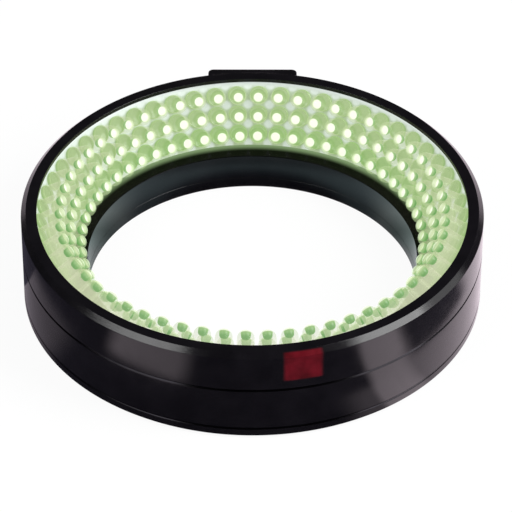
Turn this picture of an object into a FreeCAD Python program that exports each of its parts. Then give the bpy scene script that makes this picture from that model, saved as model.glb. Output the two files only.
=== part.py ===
import FreeCAD, Part
import math
import os

import Sketcher
from FreeCAD import Placement, Rotation, Vector

# Ring light for machine vision: three rows of lamps on a cone look down and inwards round a wide bore.
# It lies on its rear cover with the lit side up. The origin is on the ring's axis in the rear face, +Z
# points out of the lit side, and the cable box is at +Y. Lengths are in millimetres, angles in degrees.
SIZES = {
    # Housing
    "bore_radius": 47.5,
    "cover_thickness": 3.3,
    "shelf_thickness": 2.0,
    "seam_rise": 5.6,
    "ring_wall": 2.6,
    "lip_reach": 1.9,
    "lip_thickness": 1.25,
    "rim_chamfer": 1.45,
    "seam_chamfer": 0.4,
    "cover_seam_chamfer": 0.4,
    "foot_chamfer": 0.95,
    "mount_holes": 4,
    "first_mount_angle": 45.0,
    "mount_hole_inset": 6.0,
    "mount_hole_radius": 1.25,
    # Lamps and their board
    "first_lamp_angle": 1.3,
    "cone_angle": 60.0,
    "lamp_radius": 2.75,
    "lamp_length": 8.0,
    "lamp_tip_chamfer": 1.9,
    "lamp_side_gap": 0.4,
    "lamp_row_gap": 0.3,
    "lamp_bore_gap": 0.41,
    "lamp_tip_rise": 7.0,
    "lamp_lip_gap": 1.62,
    "board_thickness": 0.8,
    "board_edge": 0.19,
    "board_side_gap": 0.2,
    "board_top_gap": 0.05,
    # Chamber for the driver board, and the passage from it into the cable box
    "cable_box_angle": 90.0,
    "chamber_inner_wall": 2.0,
    "chamber_outer_wall": 6.3,
    "chamber_end_angle": 4.0,
    "passage_width": 10.0,
    "passage_sill": 1.7,
    "passage_top_gap": 0.4,
    # Cable box, its lid and the gland
    "box_width": 27.0,
    "box_reach": 18.0,
    "box_corner": 1.5,
    "box_seat_gap": 0.05,
    "box_roof": 2.0,
    "box_end_wall": 2.5,
    "box_cavity_width": 13.0,
    "lid_thickness": 1.6,
    "lid_ledge": 1.5,
    "lid_side_gap": 0.1,
    "inlet_radius": 2.6,
    "gland_neck_radius": 4.2,
    "gland_neck_gap": 0.05,
    "gland_flats": 10.0,
    "gland_head_length": 2.2,
    "locknut_flats": 9.6,
    "locknut_thickness": 2.4,
    # Driver board and what is on it
    "driver_board_angle": 76.0,
    "driver_side_gap": 0.5,
    "driver_thickness": 1.6,
    "sheet_thickness": 0.2,
    "resistors": 29,
    "resistor_end_angle": 4.0,
    "resistor_margin": 0.2,
    "resistor_length": 1.6,
    "resistor_width": 1.2,
    "resistor_height": 0.6,
    "diode_angle": -24.0,
    "diode_length": 4.3,
    "diode_width": 2.6,
    "diode_height": 2.1,
    "terminal_margin": 1.2,
    "terminal_length": 6.5,
    "terminal_width": 5.0,
    "terminal_height": 3.4,
    "terminal_cover_gap": 0.9,
    "terminal_way_width": 1.7,
    "terminal_way_pitch": 3.0,
    "terminal_way_depth": 2.6,
    "terminal_way_height": 1.8,
    "terminal_way_sill": 0.8,
    "tail_angle": 24.0,
    "tail_width": 8.0,
    "tail_thickness": 0.3,
    "tail_board_gap": 0.12,
    "tail_slot_gap": 0.4,
    "tail_rise": 0.9,
    "tail_drop": 2.4,
    "header_width": 2.0,
    "header_length": 9.0,
    "header_height": 2.6,
    "header_gap": 0.1,
}

FULL_TURN = 360

# Points closer together than this are taken as one
TOUCHING = 0.001

doc = FreeCAD.newDocument("ring_light")
sheet = doc.addObject("Spreadsheet::Sheet", "sizes")
for row, (name, number) in enumerate(SIZES.items(), start=1):
    sheet.set(f"A{row}", name)
    sheet.set(f"B{row}", str(number))
    sheet.setAlias(f"B{row}", name)
doc.recompute()


class Size:
    """A length, angle or count with the expression that keeps it tied to the sheet."""

    def __init__(self, text, value):
        self.text = text
        self.value = value

    def joined(self, sign, other, value):
        return Size(f"({self.text} {sign} {other.text})", value)

    def __add__(self, other):
        other = as_size(other)
        return self.joined("+", other, self.value + other.value)

    def __sub__(self, other):
        other = as_size(other)
        return self.joined("-", other, self.value - other.value)

    def __mul__(self, other):
        other = as_size(other)
        return self.joined("*", other, self.value * other.value)

    def __truediv__(self, other):
        other = as_size(other)
        return self.joined("/", other, self.value / other.value)

    def __neg__(self):
        return Size(f"(-1 * {self.text})", -self.value)


def as_size(number):
    return number if isinstance(number, Size) else Size(repr(number), number)


def given(name):
    return Size(f"sizes.{name}", float(sheet.get(name)))


def sine(angle):
    return Size(f"sin({angle.text})", math.sin(math.radians(angle.value)))


def cosine(angle):
    return Size(f"cos({angle.text})", math.cos(math.radians(angle.value)))


def whole(size):
    """The whole number at or below a size, for counts."""
    return Size(f"floor({size.text})", math.floor(size.value))


def bind(thing, path, size):
    thing.setExpression(path, size.text)


ZERO = as_size(0)
ROUND = Size("pi", math.pi) * 2

# Half the width across a hexagon's flats, as a share of its corner radius
HEXAGON_FLAT = cosine(as_size(FULL_TURN / 12))

# From the rear face up: cover, chamber as high as what the driver board carries, shelf, seam
COVER_TOP = given("cover_thickness")
DRIVER_BOTTOM = COVER_TOP + given("terminal_cover_gap") + given("terminal_height")
SHEET_BOTTOM = DRIVER_BOTTOM + given("driver_thickness")
CHAMBER_TOP = SHEET_BOTTOM + given("sheet_thickness")
SHELF_TOP = CHAMBER_TOP + given("shelf_thickness")
SEAM = SHELF_TOP + given("seam_rise")

# The lamps' axes lean in and up, square to the slope of the cone
SLOPE = given("cone_angle")
LEAN_IN = sine(SLOPE)
LEAN_UP = cosine(SLOPE)
BORE = given("bore_radius")
LAMP_RADIUS = given("lamp_radius")
LAMP_LENGTH = given("lamp_length")
TIP_RADIUS = BORE + given("lamp_bore_gap")
FIRST_SEAT_RADIUS = TIP_RADIUS + LAMP_LENGTH * LEAN_IN
FIRST_SEAT_HEIGHT = SHELF_TOP + given("lamp_tip_rise") - LAMP_LENGTH * LEAN_UP
ROW_PITCH = LAMP_RADIUS * 2 + given("lamp_row_gap")
LAMP_WIDTH = LAMP_RADIUS * HEXAGON_FLAT * 2
COLUMNS = whole(TIP_RADIUS * ROUND / (LAMP_WIDTH + given("lamp_side_gap")))
HALF_COLUMN = as_size(FULL_TURN / 2) / COLUMNS
LAST_PLACE = 2

# The lip clears the upper row, and the outer wall goes round the board's upper edge
UPPER_ROW_TOP = FIRST_SEAT_HEIGHT + (ROW_PITCH * LAST_PLACE + LAMP_RADIUS) * LEAN_IN
LIP_UNDER = UPPER_ROW_TOP + given("lamp_lip_gap")
TOP = LIP_UNDER + given("lip_thickness")
BOARD_TOP = LIP_UNDER - given("board_top_gap")
BOARD_DEPTH = given("board_thickness") / LEAN_IN


def board_face_radius(height):
    """Distance from the axis to the middle of the board's flats, on the lamp side, at a height."""
    return FIRST_SEAT_RADIUS + (height - FIRST_SEAT_HEIGHT) * LEAN_UP / LEAN_IN


BOARD_LIMIT = board_face_radius(BOARD_TOP) + given("board_edge")
RING_INNER = BOARD_LIMIT / cosine(HALF_COLUMN) + given("board_side_gap")
OUTER = RING_INNER + given("ring_wall")
LIP_RADIUS = RING_INNER - given("lip_reach")

# The driver board hangs under the shelf, on an insulating sheet
BOX_ANGLE = given("cable_box_angle")
DRIVER_ANGLE = given("driver_board_angle")
DRIVER_START = BOX_ANGLE - DRIVER_ANGLE / 2
CHAMBER_START = DRIVER_START - given("chamber_end_angle")
CHAMBER_ANGLE = DRIVER_ANGLE + given("chamber_end_angle") * 2
CHAMBER_INNER = BORE + given("chamber_inner_wall")
CHAMBER_OUTER = OUTER - given("chamber_outer_wall")
DRIVER_INNER = CHAMBER_INNER + given("driver_side_gap")
DRIVER_OUTER = CHAMBER_OUTER - given("driver_side_gap")
TERMINAL_FACE = DRIVER_OUTER - given("terminal_margin")
TERMINAL_MIDDLE = TERMINAL_FACE - given("terminal_width") / 2

# The flexible tail comes down behind the lamp board, through the shelf and the driver board
TAIL_TOP = SHELF_TOP + given("tail_rise")
TAIL_BOTTOM = DRIVER_BOTTOM - given("tail_drop")
TAIL_INNER = board_face_radius(TAIL_TOP) + BOARD_DEPTH + given("tail_board_gap")
TAIL_OUTER = TAIL_INNER + given("tail_thickness")
TAIL_ANGLE = BOX_ANGLE + given("tail_angle")

# The cable box stands on the rear half's outer wall, with its roof level with the seam
BOX_INNER = OUTER + given("box_seat_gap")
BOX_OUTER = OUTER + given("box_reach")
BOX_HALF = given("box_width") / 2
CAVITY_HALF = given("box_cavity_width") / 2
CAVITY_LOW = COVER_TOP + given("lid_thickness")
CAVITY_HIGH = SEAM - given("box_roof")
CAVITY_END = BOX_OUTER - given("box_end_wall")
LID_HALF = CAVITY_HALF + given("lid_ledge")
LID_END = CAVITY_END + given("lid_ledge")
INLET_HEIGHT = (CAVITY_LOW + CAVITY_HIGH) / 2
NECK_HOLE = given("gland_neck_radius") + given("gland_neck_gap")


def new_body(name, turn=None):
    """A body whose label names the piece, turned about the ring's axis if an angle is given."""
    body = doc.addObject("PartDesign::Body", name)
    body.Label = name
    body.Placement = Placement(Vector(0, 0, 0), Rotation(Vector(0, 0, 1), 0))
    if turn is not None:
        bind(body, "Placement.Rotation.Angle", turn)
    return body


def box_body(name):
    """A body whose own +X is the direction of the cable box."""
    return new_body(name, BOX_ANGLE)


def origin_feature(body, role):
    return next(item for item in body.Origin.OriginFeatures if item.Role == role)


def new_sketch(body, name, plane, x=ZERO, y=ZERO, z=ZERO, axis=Vector(0, 0, 1), angle=ZERO):
    """A sketch on one of the body's own planes, shifted and turned within that plane's axes."""
    sketch = body.newObject("Sketcher::SketchObject", name)
    sketch.AttachmentSupport = [(origin_feature(body, plane), "")]
    sketch.MapMode = "FlatFace"
    shift = Vector(x.value, y.value, z.value)
    sketch.AttachmentOffset = Placement(shift, Rotation(axis, angle.value))
    for path, size in (("Base.x", x), ("Base.y", y), ("Base.z", z), ("Rotation.Angle", angle)):
        if size is not ZERO:
            bind(sketch, f"AttachmentOffset.{path}", size)
    return sketch


def hold_point(sketch, edge, point, x, y):
    """Ties one point of a sketch to its distances from the sketch's origin."""
    for kind, size in (("DistanceX", x), ("DistanceY", y)):
        index = sketch.addConstraint(Sketcher.Constraint(kind, -1, 1, edge, point, size.value))
        bind(sketch, f"Constraints[{index}]", size)


def draw_outline(sketch, corners):
    """A closed outline of straight edges through corners given as pairs of sizes."""
    points = [Vector(x.value, y.value, 0) for x, y in corners]
    count = len(points)
    first = sketch.GeometryCount
    for i in range(count):
        sketch.addGeometry(Part.LineSegment(points[i], points[(i + 1) % count]), False)
    for i in range(count):
        following = first + (i + 1) % count
        sketch.addConstraint(Sketcher.Constraint("Coincident", first + i, 2, following, 1))
    for i, (x, y) in enumerate(corners):
        hold_point(sketch, first + i, 1, x, y)
    return sketch


def draw_rectangle(sketch, left, right, low, high):
    return draw_outline(sketch, [(left, low), (right, low), (right, high), (left, high)])


def draw_hexagon(sketch, radius):
    """A hexagon about the sketch's origin with two corners on its X axis."""
    half = radius / 2
    flat = radius * HEXAGON_FLAT
    return draw_outline(sketch, [(radius, ZERO), (half, flat), (-half, flat),
                                 (-radius, ZERO), (-half, -flat), (half, -flat)])


def draw_circle(sketch, x, y, radius):
    edge = sketch.addGeometry(Part.Circle(Vector(x.value, y.value, 0), Vector(0, 0, 1), radius.value), False)
    hold_point(sketch, edge, 3, x, y)
    index = sketch.addConstraint(Sketcher.Constraint("Radius", edge, radius.value))
    bind(sketch, f"Constraints[{index}]", radius)
    return sketch


def add_revolved(body, kind, sketch, angle=None):
    """A Revolution or Groove about the sketch's upright axis, a full turn or by an angle."""
    feature = body.newObject(f"PartDesign::{kind}", f"{sketch.Name}_{kind.lower()}")
    feature.Profile = sketch
    feature.ReferenceAxis = (sketch, ["V_Axis"])
    feature.Angle = FULL_TURN
    if angle is not None:
        bind(feature, "Angle", angle)
    sketch.Visibility = False
    return feature


def add_extruded(body, kind, sketch, length, reverse=False):
    """A Pad or Pocket of a sketch by a length."""
    feature = body.newObject(f"PartDesign::{kind}", f"{sketch.Name}_{kind.lower()}")
    feature.Profile = sketch
    feature.Reversed = reverse
    feature.Length = length.value
    bind(feature, "Length", length)
    sketch.Visibility = False
    return feature


def add_pattern(body, count, feature=None, span=None):
    """Copies of a feature, or of the whole body, round the ring's axis over a full turn or a span."""
    pattern = body.newObject("PartDesign::PolarPattern", f"{body.Name}_pattern")
    if feature is None:
        pattern.TransformMode = "Whole shape"
    else:
        pattern.Originals = [feature]
    pattern.Axis = (origin_feature(body, "Z_Axis"), [""])
    pattern.Angle = FULL_TURN
    if span is not None:
        bind(pattern, "Angle", span)
    pattern.Occurrences = int(count.value)
    bind(pattern, "Occurrences", count)
    body.Tip = pattern
    return pattern


def dress_edges(body, kind, base, size, wanted):
    """A Fillet or Chamfer on those edges of a feature's shape that a test picks out."""
    doc.recompute()
    names = [f"Edge{number}" for number, edge in enumerate(base.Shape.Edges, start=1) if wanted(edge)]
    feature = body.newObject(f"PartDesign::{kind}", f"{body.Name}_{kind.lower()}")
    feature.Base = (base, names)
    path = "Radius" if kind == "Fillet" else "Size"
    bind(feature, path, size)
    body.Tip = feature
    return feature


def ring_body(name, outline, turn=None, angle=None):
    """A piece turned from one outline of radii and heights."""
    body = new_body(name, turn)
    sketch = draw_outline(new_sketch(body, f"{name}_outline", "XZ_Plane"), outline)
    add_revolved(body, "Revolution", sketch, angle)
    return body


def cut_tail_slot(body, height, depth, direction):
    """The slot that the flexible tail passes through, cut up from a height."""
    gap = given("tail_slot_gap")
    half = given("tail_width") / 2 + gap
    sketch = new_sketch(body, f"{body.Name}_tail_slot", "XY_Plane", z=height, angle=direction)
    draw_rectangle(sketch, TAIL_INNER - gap, TAIL_OUTER + gap, -half, half)
    add_extruded(body, "Pocket", sketch, depth, reverse=True)


def make_main_body():
    """The rear half: bore wall, shelf and outer wall, with a chamber below for the driver board."""
    chamfer = given("seam_chamfer")
    body = ring_body("main_body", [
        (BORE, COVER_TOP),
        (OUTER, COVER_TOP),
        (OUTER, SEAM - chamfer),
        (OUTER - chamfer, SEAM),
        (RING_INNER, SEAM),
        (RING_INNER, SHELF_TOP),
        (BORE, SHELF_TOP),
    ])
    chamber = new_sketch(body, "chamber", "XZ_Plane", axis=Vector(0, 1, 0), angle=CHAMBER_START)
    draw_rectangle(chamber, CHAMBER_INNER, CHAMBER_OUTER, COVER_TOP, CHAMBER_TOP)
    add_revolved(body, "Groove", chamber, CHAMBER_ANGLE)
    cut_tail_slot(body, CHAMBER_TOP, given("shelf_thickness"), TAIL_ANGLE)
    half = given("passage_width") / 2
    inside = CHAMBER_OUTER - given("driver_side_gap")
    sill = COVER_TOP + given("passage_sill")
    passage = new_sketch(body, "passage", "XY_Plane", z=sill, angle=BOX_ANGLE)
    draw_rectangle(passage, inside, BOX_INNER, -half, half)
    add_extruded(body, "Pocket", passage, CHAMBER_TOP - given("passage_top_gap") - sill, reverse=True)
    return body


def make_front_ring():
    """The front half: outer wall, chamfered rim and the lip over the lamp board's edge."""
    chamfer = given("seam_chamfer")
    rim = given("rim_chamfer")
    return ring_body("front_ring", [
        (RING_INNER, SEAM),
        (OUTER - chamfer, SEAM),
        (OUTER, SEAM + chamfer),
        (OUTER, TOP - rim),
        (OUTER - rim, TOP),
        (LIP_RADIUS, TOP),
        (LIP_RADIUS, LIP_UNDER),
        (RING_INNER, LIP_UNDER),
    ])


def make_rear_cover():
    """The plate that closes the chamber, with the tapped holes that the light is mounted by."""
    foot = given("foot_chamfer")
    seam = given("cover_seam_chamfer")
    body = ring_body("rear_cover", [
        (BORE, ZERO),
        (OUTER - foot, ZERO),
        (OUTER, foot),
        (OUTER, COVER_TOP - seam),
        (OUTER - seam, COVER_TOP),
        (BORE, COVER_TOP),
    ])
    circle = OUTER - given("mount_hole_inset")
    start = given("first_mount_angle")
    hole = new_sketch(body, "mount_hole", "XY_Plane")
    draw_circle(hole, circle * cosine(start), circle * sine(start), given("mount_hole_radius"))
    drilled = add_extruded(body, "Pocket", hole, COVER_TOP, reverse=True)
    add_pattern(body, given("mount_holes"), drilled)
    return body


def make_lamp_board():
    """The white board, bent flat under each column of lamps, from the shelf up to the lip."""
    body = new_body("lamp_board", given("first_lamp_angle"))
    low = board_face_radius(SHELF_TOP)
    high = board_face_radius(BOARD_TOP)
    shoulder = BOARD_TOP - (high + BOARD_DEPTH - BOARD_LIMIT) * LEAN_IN / LEAN_UP
    bend = sine(HALF_COLUMN) / cosine(HALF_COLUMN)
    half_width = OUTER * bend
    section = new_sketch(body, "board_section", "XZ_Plane", z=-half_width)
    draw_outline(section, [
        (low, SHELF_TOP),
        (low + BOARD_DEPTH, SHELF_TOP),
        (BOARD_LIMIT, shoulder),
        (BOARD_LIMIT, BOARD_TOP),
        (high, BOARD_TOP),
    ])
    add_extruded(body, "Pad", section, half_width * 2)
    bends = new_sketch(body, "board_bends", "XY_Plane")
    for side in (-1, 1):
        draw_outline(bends, [
            (BORE, BORE * bend * side),
            (OUTER, half_width * side),
            (BORE, half_width * side),
        ])
    add_extruded(body, "Pocket", bends, TOP, reverse=True)
    add_pattern(body, COLUMNS)
    return body


def make_lamp_row(name, place):
    """One row of lamps, each a six-sided body with a bevelled tip, seated square on the board's flats."""
    body = new_body(name, given("first_lamp_angle"))
    up_slope = ROW_PITCH * place
    seat_radius = FIRST_SEAT_RADIUS + up_slope * LEAN_UP
    seat_height = FIRST_SEAT_HEIGHT + up_slope * LEAN_IN
    foot = new_sketch(body, f"{name}_foot", "XY_Plane", seat_radius, ZERO, seat_height,
                      Vector(0, 1, 0), -SLOPE)
    stem = add_extruded(body, "Pad", draw_hexagon(foot, LAMP_RADIUS), LAMP_LENGTH)
    lean = Vector(-LEAN_IN.value, 0, LEAN_UP.value)
    tip = Vector(seat_radius.value, 0, seat_height.value) + lean * LAMP_LENGTH.value

    def at_tip(edge):
        return all(abs((corner.Point - tip).dot(lean)) < TOUCHING for corner in edge.Vertexes)

    dress_edges(body, "Chamfer", stem, given("lamp_tip_chamfer"), at_tip)
    add_pattern(body, COLUMNS)
    return body


def make_cable_box():
    """The box on the outer wall where the cable comes in, open below and towards the passage."""
    body = box_body("cable_box")
    height = SEAM - COVER_TOP
    plan = new_sketch(body, "box_plan", "XY_Plane", z=COVER_TOP)
    draw_rectangle(plan, ZERO, BOX_OUTER, -BOX_HALF, BOX_HALF)
    add_extruded(body, "Pad", plan, height)
    seat = draw_circle(new_sketch(body, "box_seat", "XY_Plane", z=COVER_TOP), ZERO, ZERO, BOX_INNER)
    seated = add_extruded(body, "Pocket", seat, height, reverse=True)
    middle = (BOX_OUTER.value + BOX_INNER.value) / 2

    def outer_corner(edge):
        centre = edge.CenterOfMass
        upright = abs(edge.Length - height.value) < TOUCHING
        return upright and math.hypot(centre.x, centre.y) > middle

    dress_edges(body, "Fillet", seated, given("box_corner"), outer_corner)
    cavity = new_sketch(body, "box_cavity", "XY_Plane", z=COVER_TOP)
    draw_rectangle(cavity, ZERO, CAVITY_END, -CAVITY_HALF, CAVITY_HALF)
    add_extruded(body, "Pocket", cavity, CAVITY_HIGH - COVER_TOP, reverse=True)
    recess = new_sketch(body, "lid_recess", "XY_Plane", z=COVER_TOP)
    draw_rectangle(recess, ZERO, LID_END, -LID_HALF, LID_HALF)
    add_extruded(body, "Pocket", recess, given("lid_thickness"), reverse=True)
    inlet = new_sketch(body, "neck_hole", "YZ_Plane")
    draw_circle(inlet, ZERO, INLET_HEIGHT, NECK_HOLE)
    add_extruded(body, "Pocket", inlet, BOX_OUTER + given("box_end_wall"), reverse=True)
    return body


def make_box_lid():
    """The flat lid in the recess under the cable box's cavity."""
    body = box_body("cable_box_lid")
    gap = given("lid_side_gap")
    plan = new_sketch(body, "lid_plan", "XY_Plane", z=COVER_TOP)
    draw_rectangle(plan, OUTER + gap, LID_END - gap, gap - LID_HALF, LID_HALF - gap)
    add_extruded(body, "Pad", plan, given("lid_thickness"))
    return body


def make_cable_gland():
    """The cable inlet's gland: a six-sided head outside the box and a round neck through its end wall."""
    body = box_body("cable_gland")
    head = new_sketch(body, "gland_head", "YZ_Plane", y=INLET_HEIGHT, z=BOX_OUTER)
    draw_hexagon(head, given("gland_flats") / HEXAGON_FLAT / 2)
    add_extruded(body, "Pad", head, given("gland_head_length"))
    nut = given("locknut_thickness")
    neck = draw_circle(new_sketch(body, "gland_neck", "YZ_Plane", z=CAVITY_END - nut), ZERO, INLET_HEIGHT,
                       given("gland_neck_radius"))
    add_extruded(body, "Pad", neck, given("box_end_wall") + nut)
    inlet = draw_circle(new_sketch(body, "gland_bore", "YZ_Plane"), ZERO, INLET_HEIGHT, given("inlet_radius"))
    add_extruded(body, "Pocket", inlet, BOX_OUTER + given("gland_head_length"), reverse=True)
    return body


def make_gland_locknut():
    """The six-sided nut that holds the gland from inside the box."""
    body = box_body("gland_locknut")
    nut = new_sketch(body, "nut_plan", "YZ_Plane", y=INLET_HEIGHT, z=CAVITY_END - given("locknut_thickness"))
    draw_hexagon(nut, given("locknut_flats") / HEXAGON_FLAT / 2)
    draw_circle(nut, ZERO, ZERO, NECK_HOLE)
    add_extruded(body, "Pad", nut, given("locknut_thickness"))
    return body


def make_driver_layer(name, low, high):
    """An arc of sheet or board under the shelf, with the tail's slot."""
    body = ring_body(name, [
        (DRIVER_INNER, low),
        (DRIVER_OUTER, low),
        (DRIVER_OUTER, high),
        (DRIVER_INNER, high),
    ], DRIVER_START, DRIVER_ANGLE)
    cut_tail_slot(body, low, high - low, TAIL_ANGLE - DRIVER_START)
    return body


def make_block(name, direction, radius, length, width, height):
    """A plain block under the driver board, centred on a radius, with its length along that radius."""
    body = new_body(name, direction)
    sketch = new_sketch(body, f"{name}_plan", "XY_Plane", z=DRIVER_BOTTOM - height)
    draw_rectangle(sketch, radius - length / 2, radius + length / 2, -width / 2, width / 2)
    add_extruded(body, "Pad", sketch, height)
    return body


def make_resistors():
    """The chip resistors, one to each string of lamps."""
    span = DRIVER_ANGLE - given("resistor_end_angle") * 2
    length = given("resistor_length")
    radius = DRIVER_INNER + given("resistor_margin") + length / 2
    body = make_block("current_resistors", BOX_ANGLE - span / 2, radius, length, given("resistor_width"),
                      given("resistor_height"))
    add_pattern(body, given("resistors"), body.Tip, span)
    return body


def make_diode():
    """The diode that guards the supply against wrong polarity."""
    return make_block("protection_diode", BOX_ANGLE + given("diode_angle"), TERMINAL_MIDDLE,
                      given("diode_width"), given("diode_length"), given("diode_height"))


def make_terminal():
    """The two-way terminal for the cable's leads, with its ways facing the passage."""
    body = make_block("power_terminal", BOX_ANGLE, TERMINAL_MIDDLE, given("terminal_width"),
                      given("terminal_length"), given("terminal_height"))
    half = given("terminal_way_width") / 2
    sill = DRIVER_BOTTOM - given("terminal_height") + given("terminal_way_sill")
    ways = new_sketch(body, "terminal_ways", "XY_Plane", z=sill)
    for side in (-1, 1):
        middle = given("terminal_way_pitch") / 2 * side
        draw_rectangle(ways, TERMINAL_FACE - given("terminal_way_depth"), TERMINAL_FACE, middle - half,
                       middle + half)
    add_extruded(body, "Pocket", ways, given("terminal_way_height"), reverse=True)
    return body


def make_tail():
    """The flexible tail from the back of the lamp board down to the driver board's header."""
    body = new_body("flex_tail", TAIL_ANGLE)
    half = given("tail_width") / 2
    sketch = new_sketch(body, "tail_plan", "XY_Plane", z=TAIL_BOTTOM)
    draw_rectangle(sketch, TAIL_INNER, TAIL_OUTER, -half, half)
    add_extruded(body, "Pad", sketch, TAIL_TOP - TAIL_BOTTOM)
    return body


def make_header():
    """The header beside the tail on the driver board."""
    middle = TAIL_INNER - given("header_gap") - given("header_width") / 2
    return make_block("link_header", TAIL_ANGLE, middle, given("header_width"), given("header_length"),
                      given("header_height"))


pieces = [
    make_main_body(),
    make_front_ring(),
    make_rear_cover(),
    make_lamp_board(),
    make_lamp_row("lamp_row_lower", 0),
    make_lamp_row("lamp_row_middle", 1),
    make_lamp_row("lamp_row_upper", LAST_PLACE),
    make_cable_box(),
    make_box_lid(),
    make_cable_gland(),
    make_gland_locknut(),
    make_driver_layer("insulating_sheet", SHEET_BOTTOM, CHAMBER_TOP),
    make_driver_layer("driver_board", DRIVER_BOTTOM, SHEET_BOTTOM),
    make_resistors(),
    make_diode(),
    make_terminal(),
    make_tail(),
    make_header(),
]
doc.recompute()

for item in doc.Objects:
    if "Invalid" in item.State or "Error" in item.State:
        raise RuntimeError(f"{item.Name} failed: {item.State}")
for piece in pieces:
    if piece.Shape.isNull() or not piece.Shape.isValid():
        raise RuntimeError(f"{piece.Label} has no valid shape")

os.makedirs("parts", exist_ok=True)
for piece in pieces:
    piece.Shape.exportStep(f"parts/{piece.Label}.step")
    print(piece.Label, len(piece.Shape.Solids), "solids", round(piece.Shape.Volume, 1), "mm3")
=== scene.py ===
import math

import bmesh
import bpy
from mathutils import Matrix, Vector


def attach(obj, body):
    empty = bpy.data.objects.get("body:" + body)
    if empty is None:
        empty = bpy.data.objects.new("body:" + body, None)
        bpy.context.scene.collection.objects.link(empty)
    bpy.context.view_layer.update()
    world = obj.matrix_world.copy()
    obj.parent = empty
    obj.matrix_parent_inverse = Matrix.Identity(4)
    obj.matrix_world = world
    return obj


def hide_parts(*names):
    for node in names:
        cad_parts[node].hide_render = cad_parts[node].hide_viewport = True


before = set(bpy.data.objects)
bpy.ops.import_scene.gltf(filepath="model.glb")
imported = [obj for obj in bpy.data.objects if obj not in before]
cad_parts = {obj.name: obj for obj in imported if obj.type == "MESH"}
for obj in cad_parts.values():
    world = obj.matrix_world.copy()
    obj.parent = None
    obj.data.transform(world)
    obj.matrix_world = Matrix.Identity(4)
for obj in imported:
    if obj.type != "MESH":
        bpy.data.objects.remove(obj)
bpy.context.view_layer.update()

MM = 0.001

# Sizes as in the CAD model, in millimetres and degrees
BORE = 47.5
RING_INNER = 63.4
OUTER = 66.0
COVER_TOP = 3.3
CHAMBER_TOP = 9.4
SHELF_TOP = 11.4
SEAM = 17.0
TOP = 29.7
LIP_UNDER = 28.45
LIP_RADIUS = 61.5
RIM_CHAMFER = 1.45
SEAM_CHAMFER = 0.4
FOOT_CHAMFER = 0.95
HOLE_CIRCLE = 60.0
HOLE_RADIUS = 1.25
FIRST_HOLE = 45
CHAMBER_INNER = 49.5
CHAMBER_OUTER = 59.7
CHAMBER_START = 48
CHAMBER_END = 132
PASSAGE_HALF = 5.0
PASSAGE_LOW = 5.0
PASSAGE_HIGH = 9.0
BOX_HALF = 13.5
BOX_INNER = 66.05
BOX_OUTER = 84.0
BOX_CORNER = 1.5
CAVITY_HALF = 6.5
CAVITY_END = 81.5
CAVITY_TOP = 15.0
LID_HALF = 7.9
LID_END = 82.9
LID_GAP = 0.1
LID_THICKNESS = 1.6
INLET_HEIGHT = 9.95
INLET_RADIUS = 2.6
GLAND_FLATS = 10.0
GLAND_HEAD = 2.2
NECK_RADIUS = 4.2
NECK_REACH = 2.4
COLUMNS = 58
FIRST_LAMP_ANGLE = 1.3
SEAT_RADIUS = 54.835
SEAT_HEIGHT = 14.4
LAMP_LENGTH = 8.0
ROW_PITCH = 5.8
LEAN = math.radians(60)

# Screws that hold the rear cover, which the CAD model leaves out
SCREW_HEAD = 2.4
SCREW_INSET = 3.0
SCREW_ANGLE = 22.5
SCREW_FACE = 0.08
SCREW_RIM = 0.25
SCREW_TOP = 1.3
SCREW_NECK = 1.08
SOCKET_RADIUS = 1.0
SOCKET_TOP = 0.95
SINK_GAP = 0.1
SINK_RIM = 0.2
SINK_TOP = 1.5
SINK_NECK = 0.9

# Edges that the CAD model leaves sharp are broken or rounded by this much
BROKEN_EDGE = 0.12
BOX_EDGE = 0.35
LID_CORNER = 0.4
LID_EDGE = 0.15
GLAND_CORNER = 0.4
GLAND_EDGE = 0.35

# A point this share of the radius beyond each rounded corner keeps the flats flat
SUPPORT = 0.4

# Where two faces of a cut piece meet at more than this, the edge between them is shaded sharp
SHARP_EDGE = math.radians(40)

# A cutter reaches this far past what it cuts
PAST = 1.0

# A turned piece with no hole stays this far off its axis
OFF_AXIS = 0.001

RING_STEPS = 288
CHAMBER_STEPS = 84
NECK_STEPS = 64
HOLE_STEPS = 48
SCREW_STEPS = 40
CORNER_STEPS = 3
HEXAGON = 6
QUARTERS = 4
QUARTER = 90


# Meshes

def mm(*lengths):
    """Millimetres as metres."""
    return tuple(length * MM for length in lengths)


def polar(radius, angle):
    return radius * math.cos(math.radians(angle)), radius * math.sin(math.radians(angle))


def new_object(name, data):
    thing = bpy.data.objects.new(name, data)
    bpy.context.scene.collection.objects.link(thing)
    return thing


def mesh_from(name, points, faces, smooth=True):
    mesh = bpy.data.meshes.new(name)
    mesh.from_pydata(points, [], faces)
    mesh.update()
    for face in mesh.polygons:
        face.use_smooth = smooth
    return mesh


def rounded(outline, radius):
    """The closed outline with every corner rounded, and a point just beyond each end of each arc."""
    points = []
    count = len(outline)
    for i in range(count):
        before = Vector(outline[i - 1])
        corner = Vector(outline[i])
        after = Vector(outline[(i + 1) % count])
        back = (before - corner).normalized()
        ahead = (after - corner).normalized()
        half = back.angle(ahead) / 2
        set_back = radius / math.tan(half)
        centre = corner + (back + ahead).normalized() * (radius / math.sin(half))
        first = corner + back * set_back
        last = corner + ahead * set_back
        start = first - centre
        turn = start.angle_signed(last - centre)
        points.append(first + back * radius * SUPPORT)
        for step in range(CORNER_STEPS + 1):
            swing = Matrix.Rotation(-turn * step / CORNER_STEPS, 2)
            points.append(centre + swing @ start)
        points.append(last + ahead * radius * SUPPORT)
    return [(point.x, point.y) for point in points]


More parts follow.
